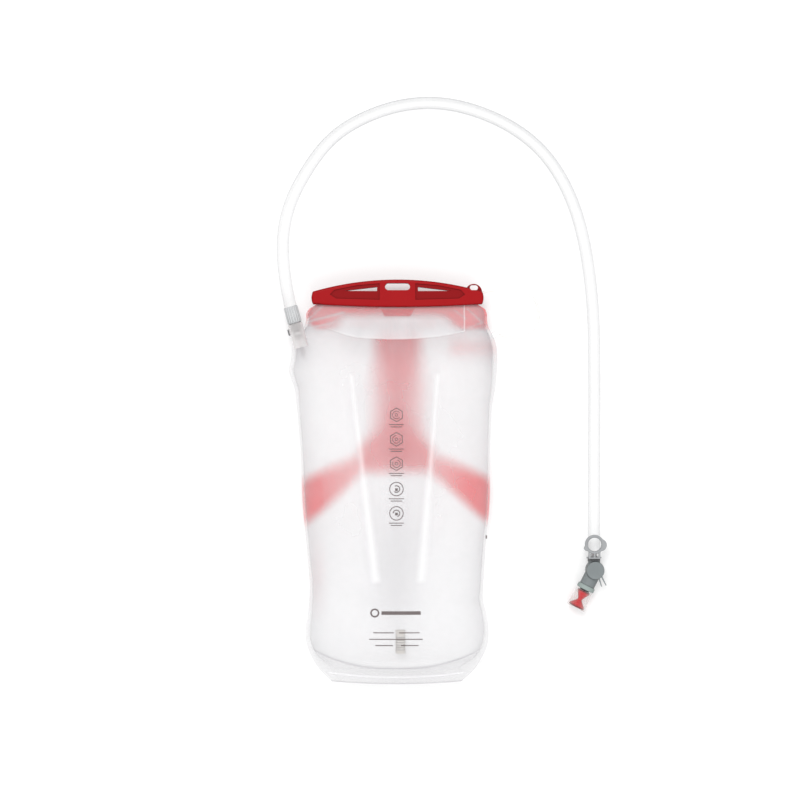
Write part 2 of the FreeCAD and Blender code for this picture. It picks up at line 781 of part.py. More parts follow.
def revolved(profile):
    """A solid turned about the bite axis from (distance along it, radius) pairs."""
    points = [bite_point(s) + UP * r for s, r in profile]
    face = Part.Face(outline(points))
    return face.revolve(bite_point(0), BITE_AXIS, 360)


def make_valve_inlet():
    axis = Vector(0, 1, 0)
    pieces = [
        rod(HOSE_BORE - SPIGOT_BARB, valve_point(BARB_TOP_Y), valve_point(HOSE_END_Y - 1)),
        rod(VALVE_SPIGOT, valve_point(HOSE_END_Y - 0.05), valve_point(SPIGOT_END_Y)),
    ]
    for step in range(BARBS):
        top = valve_point(BARB_TOP_Y - BARB_STEP * step)
        foot = top - axis * (BARB_STEP - 0.2)
        pieces.append(cone(HOSE_BORE - SPIGOT_BARB, HOSE_BORE - TOUCH, top, foot))
    spigot = union(pieces)
    spigot = spigot.cut(rod(SPIGOT_BORE, valve_point(BARB_TOP_Y + 1), valve_point(SPIGOT_END_Y - 1)))
    seal_at = valve_point(SPIGOT_END_Y + SWIVEL_SEAL_AT)
    half = axis * SWIVEL_SEAL_HALF
    spigot = spigot.cut(
        tube(VALVE_SPIGOT + 1, VALVE_SPIGOT - SWIVEL_GROOVE, seal_at - half, seal_at + half)
    )
    write("valve_spigot", spigot)
    write("swivel_seal", ring(VALVE_SPIGOT - SWIVEL_O_RING, SWIVEL_O_RING, seal_at, axis))
    collar_ends = (valve_point(HOSE_END_Y - 0.1), valve_point(COLLAR_END_Y))
    collar = tube(COLLAR_RADIUS, VALVE_SPIGOT + TOUCH, *collar_ends)
    write("hose_ferrule", collar)

    high = RING_LOW + RING_THICK
    centre = Vector(VALVE_X, RING_Y, RING_LOW)
    loop = rounded_disc(RING_OUTER, centre, RING_THICK, RING_ROUND)
    bumps = [rounded_disc(r, centre + Vector(x, y, 0), RING_THICK, RING_ROUND) for x, y, r in RING_BUMPS]
    saddle = rod(SADDLE_RADIUS, valve_point(HOSE_END_Y), valve_point(SADDLE_END_Y))
    saddle_y = (SADDLE_END_Y, HOSE_END_Y)
    saddle = saddle.common(block((VALVE_X - 9, VALVE_X + 9), saddle_y, (VALVE_Z, high)))
    step = block((VALVE_X - STEP_HALF, VALVE_X + STEP_HALF), saddle_y, (VALVE_Z + STEP_UP, high))
    post_y = (HOSE_END_Y - 0.5, RING_Y - RING_INNER - 1)
    posts = [block((VALVE_X + x - w, VALVE_X + x + w), post_y, (RING_LOW, high)) for x, w in POSTS]
    loop = union([loop] + bumps + posts + [saddle, step])
    top = centre + UP * RING_THICK
    flare = cone(RING_INNER, RING_INNER + RING_ROUND, top - UP * RING_ROUND, top)
    clip = loop.cut([rod(RING_INNER, centre - UP, centre + UP * (RING_THICK + 1)), flare])
    clip = clip.cut(rod(COLLAR_RADIUS + TOUCH, valve_point(RING_Y), valve_point(COLLAR_END_Y - 9)))
    write("clip_ring", clip)


def make_elbow():
    centre_low = Vector(JOINT_X, JOINT_Y, JOINT_LOW)
    centre_high = Vector(JOINT_X, JOINT_Y, JOINT_HIGH)
    drum = rod(JOINT_RADIUS, centre_low, centre_high)
    arm = rod(ARM_RADIUS, valve_point(ARM_START_Y), valve_point(JOINT_Y))
    outlet = rod(OUTLET_RADIUS, bite_point(0), bite_point(OUTLET_END))
    nipple = rod(NIPPLE_RADIUS, bite_point(0), bite_point(NIPPLE_END))
    elbow = union([drum, arm, outlet, nipple])
    rotor_low = Vector(JOINT_X, JOINT_Y, ROTOR_LOW - 0.2)
    elbow = elbow.cut([
        rod(VALVE_SPIGOT + 0.05, valve_point(ARM_START_Y + 1), valve_point(SPIGOT_END_Y - PLAY)),
        rod(SPIGOT_BORE, valve_point(SPIGOT_END_Y), valve_point(JOINT_Y)),
        rod(WATERWAY, bite_point(0), bite_point(NIPPLE_END + 1)),
        rod(ROTOR_RADIUS + ROTOR_CLEAR, rotor_low, centre_high + UP),
    ])
    write("elbow_body", elbow)

    rotor = rod(ROTOR_RADIUS, rotor_low + UP * 0.2, Vector(JOINT_X, JOINT_Y, KNOB_LOW))
    centre = Vector(JOINT_X, JOINT_Y, VALVE_Z)
    inward = rod(SPIGOT_BORE, centre, valve_point(SPIGOT_END_Y))
    rotor = rotor.cut([inward, rod(WATERWAY, bite_point(0), bite_point(9))])
    seal_at = Vector(JOINT_X, JOINT_Y, JOINT_HIGH - ROTOR_SEAL_DOWN)
    half = UP * ROTOR_SEAL_HALF
    rotor = rotor.cut(tube(ROTOR_RADIUS + 1, ROTOR_RADIUS - ROTOR_GROOVE, seal_at - half, seal_at + half))
    write("shutoff_rotor", rotor)
    write("rotor_seal", ring(ROTOR_RADIUS - ROTOR_O_RING + 0.01, ROTOR_O_RING, seal_at, UP))

    low = Vector(JOINT_X, JOINT_Y, KNOB_LOW)
    knob = rounded_disc(KNOB_RADIUS, low, KNOB_THICK, KNOB_ROUND)
    prongs = []
    for start, end in PRONGS:
        a = low + Vector(*start)
        b = low + Vector(*end)
        along = (b - a).normalize()
        wide = Vector(-along.y, along.x, 0) * (PRONG_WIDTH / 2)
        slim = wide * PRONG_TAPER
        bar = Part.Face(outline([a + wide, b + slim, b - slim, a - wide])).extrude(UP * PRONG_THICK)
        prongs.append(bar)
    write("shutoff_lever", union([knob] + prongs))


def make_bite():
    root = NIPPLE_RADIUS + SLEEVE
    band = revolved([
        (OUTLET_END + 0.05, root + TOUCH),
        (OUTLET_END + 0.05, BAND_RADIUS - 0.5),
        (OUTLET_END + 0.8, BAND_RADIUS),
        (BAND_END - 0.6, BAND_RADIUS),
        (BAND_END, BAND_RADIUS - 0.5),
        (BAND_END, root + TOUCH),
    ])
    write("bite_band", band)
    inside = CORE_BIG + 0.3
    sheath = revolved([
        (OUTLET_END + 0.05, NIPPLE_RADIUS + TOUCH),
        (OUTLET_END + 0.05, root),
        (BAND_END + 0.05, root),
        (BAND_END + 0.05, TIP_ROOT_RADIUS),
        (BAND_END + 8, TIP_ROOT_RADIUS + 0.4),
        (TIP_END - 1.5, TIP_RADIUS),
        (TIP_END, TIP_RADIUS - 0.6),
        (TIP_END, CORE_BIG - 1.5),
        (TIP_END - 0.9, CORE_BIG - 1.5),
        (TIP_END - 0.9, inside),
        (TIP_END - 3.5, inside),
        (NIPPLE_END + 0.1, CORE_TOP + 0.4),
        (NIPPLE_END + 0.1, NIPPLE_RADIUS + TOUCH),
    ])
    write("bite_sheath", sheath)
    start = NIPPLE_END + 0.3
    end = TIP_END - 1.1
    core = revolved([
        (start, 0),
        (start, CORE_TOP),
        (start + 1.4, CORE_TOP),
        (CORE_WAIST_AT - 0.8, CORE_WAIST),
        (CORE_WAIST_AT + 0.8, CORE_WAIST),
        (end - 2.4, CORE_BIG - 0.6),
        (end - 0.8, CORE_BIG),
        (end, CORE_BIG - 0.5),
        (end, 0),
    ])
    write("bite_core", core)


def main():
    os.makedirs("parts", exist_ok=True)
    make_bag()
    make_mouth()
    make_slide_bar()
    hose_start = make_port()
    make_dip_tube()
    make_cords(hose_start)
    make_valve_inlet()
    make_elbow()
    make_bite()


main()
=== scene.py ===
"""The looks of a soft drinking reservoir that lies on its back: films, hose, tether and mouthpiece."""
import math

import bmesh
import bpy
import numpy as np
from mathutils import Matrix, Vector, noise


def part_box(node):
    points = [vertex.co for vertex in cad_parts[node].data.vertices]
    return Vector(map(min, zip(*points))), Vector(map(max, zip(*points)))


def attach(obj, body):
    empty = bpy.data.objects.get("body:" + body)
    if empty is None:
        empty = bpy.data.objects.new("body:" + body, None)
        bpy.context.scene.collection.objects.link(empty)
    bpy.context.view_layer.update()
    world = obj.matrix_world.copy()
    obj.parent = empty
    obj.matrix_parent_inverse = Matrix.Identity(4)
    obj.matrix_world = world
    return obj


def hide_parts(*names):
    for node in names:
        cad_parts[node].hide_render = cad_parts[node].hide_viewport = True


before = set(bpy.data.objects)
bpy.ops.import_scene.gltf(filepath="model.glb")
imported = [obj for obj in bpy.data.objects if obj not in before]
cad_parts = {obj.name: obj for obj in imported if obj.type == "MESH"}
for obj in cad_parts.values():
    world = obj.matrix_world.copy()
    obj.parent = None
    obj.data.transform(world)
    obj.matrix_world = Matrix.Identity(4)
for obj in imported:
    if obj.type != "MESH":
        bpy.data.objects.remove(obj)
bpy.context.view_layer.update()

MM = 0.001

SEAM_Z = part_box("front_panel")[0].z     # height of the weld all round the bag
BAG_X = 3.9 * MM                        # the bag's middle line in the row frame
FAINT = 0.004                           # a sheet painted fainter than this is cut away


# ---------------------------------------------------------------- small helpers


def smooth(points, at):
    """A smooth curve through (position, value) points, read at the positions in at."""
    xs = np.array([p[0] for p in points], float)
    ys = np.array([p[1] for p in points], float)
    slopes = np.gradient(ys, xs)
    at = np.clip(np.asarray(at, float), xs[0], xs[-1])
    k = np.clip(np.searchsorted(xs, at) - 1, 0, len(xs) - 2)
    span = xs[k + 1] - xs[k]
    t = (at - xs[k]) / span
    a = (1 + 2 * t) * (1 - t) ** 2
    b = t * (1 - t) ** 2
    c = t * t * (3 - 2 * t)
    d = t * t * (t - 1)
    return a * ys[k] + b * span * slopes[k] + c * ys[k + 1] + d * span * slopes[k + 1]


def step(low, high, value):
    """0 below low, 1 above high, smooth between; high may be the smaller."""
    t = np.clip((value - low) / (high - low), 0, 1)
    return t * t * (3 - 2 * t)


def bump(value, centre, width):
    return np.exp(-(((value - centre) / width) ** 2))


def grain(x, y, scale, seed):
    """Smooth noise from -1 to 1 at points given in millimetres."""
    x, y = np.broadcast_arrays(x, y)
    out = [noise.noise(Vector((a / scale, b / scale, seed * 7.3))) for a, b in zip(x.ravel(), y.ravel())]
    return np.array(out).reshape(x.shape) * 1.6


def object_from(name, verts, faces, material, shade_smooth=True):
    mesh = bpy.data.meshes.new(name)
    mesh.from_pydata([tuple(v) for v in verts], [], faces)
    mesh.update()
    mesh.materials.append(material)
    obj = bpy.data.objects.new(name, mesh)
    bpy.context.scene.collection.objects.link(obj)
    if shade_smooth:
        mesh.polygons.foreach_set("use_smooth", [True] * len(mesh.polygons))
    return obj


def grid_faces(rows, cols, flip=False):
    faces = []
    for r in range(rows - 1):
        for c in range(cols - 1):
            a = r * cols + c
            quad = (a, a + 1, a + cols + 1, a + cols)
            faces.append(quad[::-1] if flip else quad)
    return faces


def sheet_from(name, x, y, z, material, flip=False):
    """A smooth sheet from three grids of millimetres about the bag's middle line."""
    verts = np.stack([x * MM + BAG_X, y * MM, z], axis=-1).reshape(-1, 3)
    return object_from(name, verts, grid_faces(*x.shape, flip), material)


def paint(obj, name, values):
    """A number on each vertex, which the material reads by name."""
    layer = obj.data.attributes.new(name, "FLOAT", "POINT")
    layer.data.foreach_set("value", np.ravel(values).astype(np.float32))


def trim(obj, name):
    """Takes away the parts of a sheet whose painted number is next to nothing."""
    sheet = bmesh.new()
    sheet.from_mesh(obj.data)
    layer = sheet.verts.layers.float[name]
    bmesh.ops.delete(sheet, geom=[v for v in sheet.verts if v[layer] < FAINT], context="VERTS")
    sheet.to_mesh(obj.data)
    sheet.free()


# ---------------------------------------------------------------- materials


class Shader:
    """A material with one Principled BSDF and short calls for its procedural nodes."""

    def __init__(self, name, **constants):
        self.material = bpy.data.materials.new(name)
        self.material.use_nodes = True
        self.tree = self.material.node_tree
        self.bsdf = self.tree.nodes["Principled BSDF"]
        for key, value in constants.items():
            self.bsdf.inputs[key.replace("_", " ")].default_value = value

    def node(self, kind, **settings):
        made = self.tree.nodes.new("ShaderNode" + kind)
        for key, value in settings.items():
            if key in made.inputs:
                made.inputs[key].default_value = value
            else:
                setattr(made, key, value)
        return made

    def link(self, source, target):
        self.tree.links.new(source, target)

    def noise(self, scale, detail=3.0):
        place = self.node("TexCoord")
        texture = self.node("TexNoise", Scale=scale, Detail=detail)
        self.link(place.outputs["Object"], texture.inputs["Vector"])
        return texture.outputs["Fac"]

    def range(self, source, low, high, new_low, new_high):
        ramp = self.node("MapRange")
        for key, value in (("From Min", low), ("From Max", high), ("To Min", new_low), ("To Max", new_high)):
            ramp.inputs[key].default_value = value
        self.link(source, ramp.inputs["Value"])
        return ramp.outputs["Result"]

    def math(self, operation, a, b):
        made = self.node("Math", operation=operation)
        for slot, value in enumerate((a, b)):
            if isinstance(value, (int, float)):
                made.inputs[slot].default_value = value
            else:
                self.link(value, made.inputs[slot])
        return made.outputs["Value"]

    def colours(self, factor, first, second):
        mix = self.node("Mix", data_type="RGBA")
        self.link(factor, mix.inputs["Factor"])
        for socket in mix.inputs:
            if socket.type == "RGBA":
                socket.default_value = (*(first if socket.name == "A" else second), 1)
        return mix.outputs[2]

    def blend(self, factor, source, second):
        """source turned towards a plain colour by factor."""
        mix = self.node("Mix", data_type="RGBA")
        self.link(factor, mix.inputs["Factor"])
        for socket in mix.inputs:
            if socket.type == "RGBA" and socket.name == "A":
                self.link(source, socket)
            elif socket.type == "RGBA":
                socket.default_value = (*second, 1)
        return mix.outputs[2]

    def attribute(self, name):
        return self.node("Attribute", attribute_name=name).outputs["Fac"]

    def facing(self, blend):
        return self.node("LayerWeight", Blend=blend).outputs["Facing"]

    def bumps(self, height, strength, distance):
        made = self.node("Bump", Strength=strength, Distance=distance)
        self.link(height, made.inputs["Height"])
        self.link(made.outputs["Normal"], self.bsdf.inputs["Normal"])

    def set(self, name, source):
        self.link(source, self.bsdf.inputs[name])


def moulded(name, colour, darker, roughness, coat=0.0, creases=0.0008, shine=0.25, painted_recess_shade=None):
    """Moulded plastic: mottled colour, uneven gloss, a fine grain, and painted shade that darkens its inner
    corners and its rims.

    The last argument is a colour of painted shade for recesses and the heights off the seam between which
    the colour turns to it.
    """
    s = Shader(name, Coat_Weight=coat, Coat_Roughness=0.1, Specular_IOR_Level=shine)
    mottled = s.colours(s.noise(70.0, 4.0), darker, colour)
    if painted_recess_shade:
        shade, deep, level = painted_recess_shade
        place = s.node("TexCoord")
        parts = s.node("SeparateXYZ")
        s.link(place.outputs["Object"], parts.inputs["Vector"])
        off_seam = s.math("ABSOLUTE", s.math("SUBTRACT", parts.outputs["Z"], SEAM_Z), 0.0)
        # painted shade: the colour turns to the recess shade where the surface lies near the seam's height,
        # down in the recesses
        mottled = s.blend(s.range(off_seam, deep, level, 1.0, 0.0), mottled, shade)
    # painted shade: the colour darkens towards the rims, where the surface is seen edge on
    painted_rim_shade = s.range(s.facing(0.5), 0.25, 0.95, 0.0, 0.65)
    mottled = s.blend(painted_rim_shade, mottled, tuple(c * 0.35 for c in darker))
    # painted shade: ambient occlusion darkens the colour in inner corners and grooves, out to the creases
    # distance
    corners = s.node("AmbientOcclusion", Distance=creases, samples=4)
    s.link(mottled, corners.inputs["Color"])
    s.set("Base Color", corners.outputs["Color"])
    s.set("Roughness", s.range(s.noise(240.0), 0.3, 0.7, roughness - 0.06, roughness + 0.08))
    s.bumps(s.noise(700.0, 2.0), 0.12, 0.00002)
    return s.material


def film(name, dark, pale, grazing=0.25, roughness=0.45):
    """Plastic film: the painted cover is how solid it looks and the painted tone how pale; the tone carries
    the painted shade of the sheets.
    """
    s = Shader(name, Specular_IOR_Level=0.3)
    s.set("Base Color", s.colours(s.attribute("tone"), dark, pale))
    mottled = s.range(s.noise(30.0, 3.0), 0.3, 0.7, 0.95, 1.05)
    cover = s.math("MULTIPLY", s.attribute("cover"), mottled)
    s.set("Alpha", s.math("ADD", cover, s.range(s.facing(0.25), 0.0, 1.0, 0.0, grazing)))
    s.set("Roughness", s.range(s.noise(160.0), 0.3, 0.7, roughness - 0.05, roughness + 0.07))
    s.bumps(s.noise(240.0, 2.0), 0.1, 0.00004)
    return s.material


def tinted(name, deep, pale, strength, roughness=0.4):
    """Red tinted film: the painted tint says how strong it is."""
    s = Shader(name, Specular_IOR_Level=0.3)
    s.set("Base Color", s.colours(s.noise(55.0, 4.0), deep, pale))
    mottled = s.range(s.noise(26.0, 3.0), 0.3, 0.7, 0.88, 1.1)
    tint = s.range(s.attribute("tint"), 0.0, 1.0, 0.0, strength)
    s.set("Alpha", s.math("MULTIPLY", tint, mottled))
    s.set("Roughness", s.range(s.noise(160.0), 0.3, 0.7, roughness - 0.05, roughness + 0.07))
    s.bumps(s.noise(300.0, 2.0), 0.2, 0.00005)
    return s.material


def clear(name, colour, middle, edge, roughness=0.12, blend=0.4, shine=0.4, wall=None, lower_side_shade=1.0):
    """Clear tube or moulding: nearly invisible face on, greyer where it is seen edge on.

    wall is the inner radius over the outer one: the line of a tube's inner wall is drawn there.
    The last argument is a factor of painted shade: it makes the side that faces the bottom of the bag that
    much stronger.
    """
    s = Shader(name, Specular_IOR_Level=shine)
    s.set("Base Color", s.colours(s.noise(60.0, 3.0), tuple(c * 0.96 for c in colour), colour))
    streaks = s.range(s.noise(60.0, 2.0), 0.3, 0.7, 0.95, 1.05)
    edges = s.range(s.facing(blend), 0.0, 0.7, middle, edge)
    if wall:
        at = 1 - math.sqrt(1 - wall ** 2) ** (2 * blend)
        off = s.math("ABSOLUTE", s.math("SUBTRACT", s.facing(blend), at), 0.0)
        edges = s.math("MAXIMUM", edges, s.range(off, 0.0, 0.02, 0.09, 0.0))
    # painted shade: the side facing the bottom of the bag is drawn greyer
    if lower_side_shade > 1:
        parts = s.node("SeparateXYZ")
        s.link(s.node("NewGeometry").outputs["Normal"], parts.inputs["Vector"])
        edges = s.math("MULTIPLY", edges, s.range(parts.outputs["Y"], -1.0, -0.15, lower_side_shade, 1.0))
    s.set("Alpha", s.math("MULTIPLY", edges, streaks))
    s.set("Roughness", s.range(s.noise(200.0), 0.3, 0.7, roughness - 0.03, roughness + 0.06))
    s.bumps(s.noise(120.0, 2.0), 0.05, 0.00004)
    return s.material


def ink(name, colour):
    """Thin, slightly uneven printing."""
    s = Shader(name, Roughness=0.6, Specular_IOR_Level=0.2)
    s.set("Base Color", s.colours(s.noise(150.0, 3.0), colour, tuple(c * 1.5 for c in colour)))
    return s.material


def steel(name):
    s = Shader(name, Metallic=1.0)
    s.set("Base Color", s.colours(s.noise(500.0, 2.0), (0.5, 0.5, 0.52), (0.72, 0.72, 0.74)))
    s.set("Roughness", s.range(s.noise(800.0), 0.3, 0.7, 0.2, 0.34))
    return s.material


LILAC = (0.30, 0.285, 0.31)
MILK = (0.94, 0.94, 0.95)
FROSTED = film("frosted_film", LILAC, MILK, 0.18)
BACK_FILM = film("back_film", LILAC, MILK, 0.18)
LIP_FILM = film("lip_film", LILAC, MILK, 0.15)
WEB_FILM = film("web_film", LILAC, MILK, 0.0)
YOKE_RED = tinted("yoke_red", (0.78, 0.012, 0.022), (0.86, 0.03, 0.035), 1.0)
NECK_RED = tinted("neck_red", (0.84, 0.035, 0.045), (0.92, 0.07, 0.08), 0.85)
TAB_RED = tinted("tab_red", (0.62, 0.06, 0.08), (0.72, 0.10, 0.11), 0.40)
# the bar's recessed panels get painted shade
BAR_RED = moulded("bar_red", (0.355, 0.0065, 0.009), (0.32, 0.0048, 0.0075), 0.34, shine=0.07,
                  painted_recess_shade=((0.25, 0.004, 0.006), 0.0058, 0.0068))
CORE_RED = moulded("core_red", (0.62, 0.010, 0.020), (0.50, 0.006, 0.012), 0.30, coat=0.15, shine=0.15)
RAIL_RED = moulded("rail_red", (0.55, 0.08, 0.08), (0.48, 0.06, 0.06), 0.4)
GREY = moulded("moulded_grey", (0.225, 0.25, 0.255), (0.175, 0.195, 0.20), 0.42)
RING_GREY = moulded("ring_grey", (0.36, 0.37, 0.38), (0.29, 0.30, 0.31), 0.42)
# the grip's long creases distance spreads painted shade into the grooves between its ribs
GRIP_GREY = moulded("grip_grey", (0.72, 0.73, 0.74), (0.50, 0.51, 0.52), 0.45, creases=0.006)
DARK = moulded("moulded_dark", (0.16, 0.165, 0.17), (0.12, 0.125, 0.13), 0.45)
WHITE = moulded("moulded_white", (0.80, 0.80, 0.80), (0.72, 0.72, 0.73), 0.35)
PORT_CLEAR = clear("port_clear", (0.84, 0.81, 0.81), 0.34, 0.72)
BLACK_SEAL = moulded("seal_black", (0.02, 0.02, 0.02), (0.012, 0.012, 0.012), 0.55)
BAND = moulded("band_green_grey", (0.33, 0.39, 0.37), (0.27, 0.32, 0.31), 0.35)
STRAINER_TAN = moulded("strainer_tan", (0.62, 0.58, 0.52), (0.55, 0.51, 0.46), 0.5)
# the hose is drawn greyer on its lower side as painted shade
HOSE_CLEAR = clear("hose_clear", (0.30, 0.31, 0.33), 0.010, 0.34, blend=0.22, wall=0.56, lower_side_shade=2.6)
TETHER_CLEAR = clear("tether_clear", (0.85, 0.84, 0.78), 0.10, 0.50)
CLEAR_PART = clear("clear_moulded", (0.85, 0.85, 0.87), 0.12, 0.6)
DIP_CLEAR = clear("dip_clear", (0.90, 0.90, 0.91), 0.02, 0.12)
SILICONE = clear("bite_silicone", (0.90, 0.86, 0.84), 0.03, 0.45, blend=0.2, shine=0.15)
SPRING = steel("spring_steel")
INK = ink("printed_ink", (0.13, 0.11, 0.11))


# ---------------------------------------------------------------- camera, light and stage

VIEW_SIDE = 784 * MM        # what the camera sees of the plane through the weld
VIEW_X = BAG_X + 3.43 * MM
VIEW_Y = 80.36 * MM
LENS_HEIGHT = 2.6
SENSOR = 36.0
FLOOR_REACH = 6.0
FLOOR_DROP = 0.4 * MM
LIGHT_AIM = (0, 0.05, 0)


def make_camera():
    data = bpy.data.cameras.new("camera")
    data.sensor_width = SENSOR
    data.lens = SENSOR * (LENS_HEIGHT - SEAM_Z) / VIEW_SIDE
    camera = bpy.data.objects.new("camera", data)
    camera.location = (VIEW_X, VIEW_Y, LENS_HEIGHT)
    bpy.context.scene.collection.objects.link(camera)
    bpy.context.scene.camera = camera


def make_light(name, place, size, power):
    data = bpy.data.lights.new(name, "AREA")
    data.shape = "DISK"
    data.size = size
    data.energy = power
    light = bpy.data.objects.new(name, data)
    light.location = place
    light.rotation_euler = (Vector(LIGHT_AIM) - Vector(place)).to_track_quat("-Z", "Y").to_euler()
    bpy.context.scene.collection.objects.link(light)


def make_stage():
    s = Shader("paper", Roughness=0.9, Specular_IOR_Level=0.1, Emission_Strength=0.30)
    s.set("Base Color", s.colours(s.noise(3.0), (0.65, 0.65, 0.65), (0.67, 0.67, 0.67)))
    signs = [(-1, -1), (1, -1), (1, 1), (-1, 1)]
    corners = [(a * FLOOR_REACH, b * FLOOR_REACH, 0) for a, b in signs]
    floor = object_from("floor", corners, [(0, 1, 2, 3)], s.material, False)
    floor.location.z = -FLOOR_DROP
    make_light("key", (-0.4, 1.4, 3.2), 1.8, 56)
    make_light("fill", (0.5, -0.9, 1.9), 1.6, 10)
    world = bpy.data.worlds.new("studio")
    world.use_nodes = True
    world.node_tree.nodes["Background"].inputs["Color"].default_value = (1, 1, 1, 1)
    world.node_tree.nodes["Background"].inputs["Strength"].default_value = 0.70
    bpy.context.scene.world = world
    bpy.context.scene.view_settings.view_transform = "Standard"


# ---------------------------------------------------------------- the bag's shape, in millimetres

# outer weld edge, (y, x), from the bottom up; the films end inside the slide bar
LEFT_WELD = [
    (-200, -60), (-195, -63.5), (-188, -71), (-179, -78.5), (-173, -82), (-166, -85.6), (-156, -88.6),
    (-144, -88.9), (-131, -87.0), (-115, -85.6), (-103, -85.0), (-79, -86.8), (-56, -88.8),
    (-27, -91.6), (32, -94.0), (56, -96.0), (79, -98.3), (91, -99.8), (100, -103.0), (108.5, -105.6),
    (120, -103.6), (134, -102.0), (142, -101.0), (147, -96.5), (152, -91.0), (158, -88.6),
    (166, -88.0), (170, -85.0), (173, -80.0), (184, -77.0),
]
RIGHT_WELD = [
    (-200, 61), (-195, 64.0), (-188, 72), (-179, 79.5), (-173, 83), (-166, 86.6), (-156, 89.6),
    (-144, 90.1), (-131, 88.5), (-115, 84.5), (-103, 84.9), (-79, 86.2), (-56, 87.8),
    (-27, 90.8), (32, 91.7), (56, 92.5), (79, 94.2), (91, 96.5), (100, 97.6), (108.5, 98.2),
    (120, 98.6), (134, 97.6), (142, 95.0), (147, 92.5), (152, 90.0), (158, 88.8),
    (166, 88.2), (170, 86.0), (173, 81.0), (184, 77.0),
]
# width of the clear weld margin on each side
MARGIN = [
    (-200, 14), (-190, 10), (-181, 15), (-172, 7), (-160, 5.0), (-140, 4.0), (-105, 2.8), (-27, 2.2),
    (76, 2.6), (108, 4.2), (132, 3.6), (146, 3.0), (158, 2.0), (170, 1.5), (184, 1.0),
]
FRONT_RISE = [
    (-200, 0), (-182, 0), (-180.5, 1.2), (-176, 4.5), (-172, 8.0), (-160, 17.0), (-140, 27.0), (-105, 34.0),
    (-45, 37.0), (20, 37.2), (76, 35.4), (108, 31.5), (132, 24.0), (146, 17.0), (158, 8.5),
    (166, 3.6), (170, 1.5), (174, 0.6), (184, 0.4),
]
BACK_FALL = [
    (-200, 0), (-182, 0), (-180.5, 1.0), (-176, 3.6), (-172, 7.0), (-160, 13.0), (-140, 18.8), (-105, 23.6),
    (-45, 25.6), (20, 25.6), (76, 24.6), (108, 21.8), (132, 16.8), (146, 11.8), (158, 6.8),
    (166, 3.2), (170, 1.3), (174, 0.5), (184, 0.4),
]
WELD_TOP = 102.0
WELD_BOTTOM = -92.8
LEFT_LINE = (-43.6, -20.1)      # x at the top and the bottom of each front weld line
RIGHT_LINE = (39.7, 24.0)
FILM_BOTTOM = -195.2
FILM_TOP = 183.0
FIN_SAG = 3.0
YOKE_MIDDLE = 1.5
FLOOR_GAP = 0.6 * MM        # the back film comes no nearer to the floor
FLOOR_EASE = 2.6 * MM       # how gently it turns flat there
WELD_HALF = 0.3 * MM        # half of the gap between the films at the weld


def weld_line_x(ends, y):
    return ends[0] + (ends[1] - ends[0]) * (WELD_TOP - y) / (WELD_TOP - WELD_BOTTOM)


def fill_edges(y):
    margin = smooth(MARGIN, y)
    return smooth(LEFT_WELD, y) + margin, smooth(RIGHT_WELD, y) - margin


def across(x, y):
    """-1 to 1 from the left edge of the filled part to its right edge."""
    left, right = fill_edges(y)
    return np.clip((x - (left + right) / 2) / ((right - left) / 2), -1, 1)


def weld_mask(x, y, width, ends=3.0):
    """1 on the two front weld lines, which fade out over their ends."""
    inside = step(WELD_BOTTOM - ends, WELD_BOTTOM, y) * step(WELD_TOP + ends, WELD_TOP, y)
    lines = bump(x, weld_line_x(LEFT_LINE, y), width) + bump(x, weld_line_x(RIGHT_LINE, y), width)
    return lines * inside


def wrinkles(x, y, seed):
    """Ripples along the sides, folds fanning out of the neck, and slack above the fin."""
    edge = step(0.55, 1.0, np.abs(across(x, y)))
    side = edge * step(165, 120, y) * grain(x * 0.3, y * 1.0, 22.0, seed) * 0.35
    neck = step(60, 150, y) * step(176, 160, y)
    fan = grain(x + y * 0.25 * np.tanh(x / 20), y * 0.22, 17.0, seed + 1) * neck * 1.1
    foot = step(-110, -165, y) * grain(x * 1.0, y * 0.35, 20.0, seed + 2) * 0.5
    slack = grain(x * 0.6, y * 0.4, 40.0, seed + 3) * 0.6
    return side + fan + foot + slack


def front_height(x, y):
    t = np.abs(across(x, y))
    crown = (1 - t ** 2.1) ** 0.56
    lift = smooth(FRONT_RISE, y) * crown
    valley = weld_mask(x, y, 8.0, 26.0) * 4.2 - weld_mask(x, y, 2.4, 8.0) * 0.35
    near_end = step(WELD_TOP + 25, WELD_TOP - 25, y) * step(WELD_BOTTOM - 25, WELD_BOTTOM + 25, y)
    fade = np.clip(lift / 12.0, 0, 1)
    return lift + (wrinkles(x, y, 1) - valley * (0.45 + 0.55 * near_end)) * fade


def back_height(x, y):
    t = np.abs(across(x, y))
    crown = (1 - t ** 2.3) ** 0.56
    fall = smooth(BACK_FALL, y) * crown
    fade = np.clip(fall / 12.0, 0, 1)
    return fall + wrinkles(x, y, 5) * 0.35 * fade


def front_z(x, y):
    return SEAM_Z + WELD_HALF + front_height(x, y) * MM


def back_z(x, y):
    """The back film rests on the floor, so it is flat where it would go lower."""
    depth = back_height(x, y) * MM
    room = SEAM_Z - FLOOR_GAP
    return SEAM_Z - WELD_HALF - (room - FLOOR_EASE * np.logaddexp(0, (room - depth) / FLOOR_EASE))


